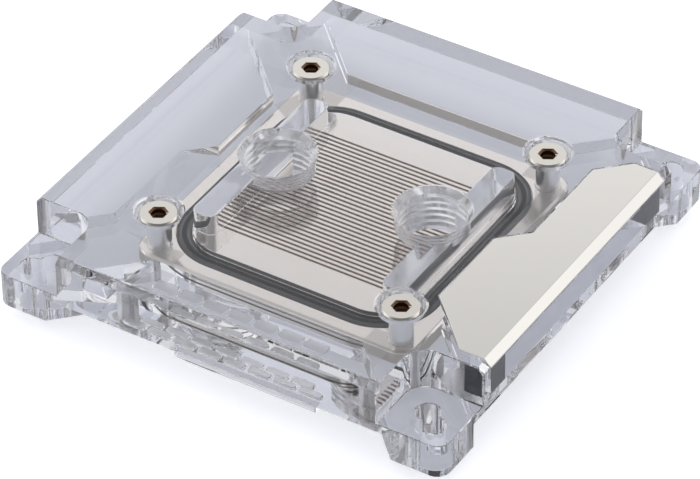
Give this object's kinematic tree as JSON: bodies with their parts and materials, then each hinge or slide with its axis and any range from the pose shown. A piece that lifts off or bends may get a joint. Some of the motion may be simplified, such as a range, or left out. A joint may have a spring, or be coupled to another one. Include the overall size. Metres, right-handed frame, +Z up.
{
  "type": "cpu water block",
  "caption": "Square processor water block: clear acrylic top with threaded ports over a finned, nickel-plated cold plate, with mounting ears.",
  "frame": {"origin": "centre of the cold plate's contact face", "axes": "+Z up out of the ports, +X towards the polished side cover, -Y towards the edge with the low lip under it"},
  "size_m": [0.089, 0.089, 0.0176],
  "materials": {
    "clear_acrylic": "polished clear acrylic",
    "nickel_plate": "nickel-plated copper",
    "screw_nickel": "nickel-plated steel",
    "polished_cover": "polished metal",
    "seal_rubber": "matte",
    "black_plastic": "matte",
    "board_white": "satin",
    "lamp_white": "gloss"
  },
  "bodies": {
    "root": {"acrylic_body": "clear_acrylic", "cold_plate": "nickel_plate", "seal_ring": "seal_rubber", "front_left_screw": "screw_nickel", "rear_left_screw": "screw_nickel", "rear_right_screw": "screw_nickel", "front_right_screw": "screw_nickel", "side_cover": "polished_cover", "front_end_block": "black_plastic", "rear_end_block": "black_plastic", "light_board": "board_white", "lamp_1": "lamp_white", "lamp_2": "lamp_white", "lamp_3": "lamp_white", "lamp_4": "lamp_white", "lamp_5": "lamp_white", "lamp_6": "lamp_white", "lamp_7": "lamp_white", "lamp_8": "lamp_white"}
  },
  "joints": []
}
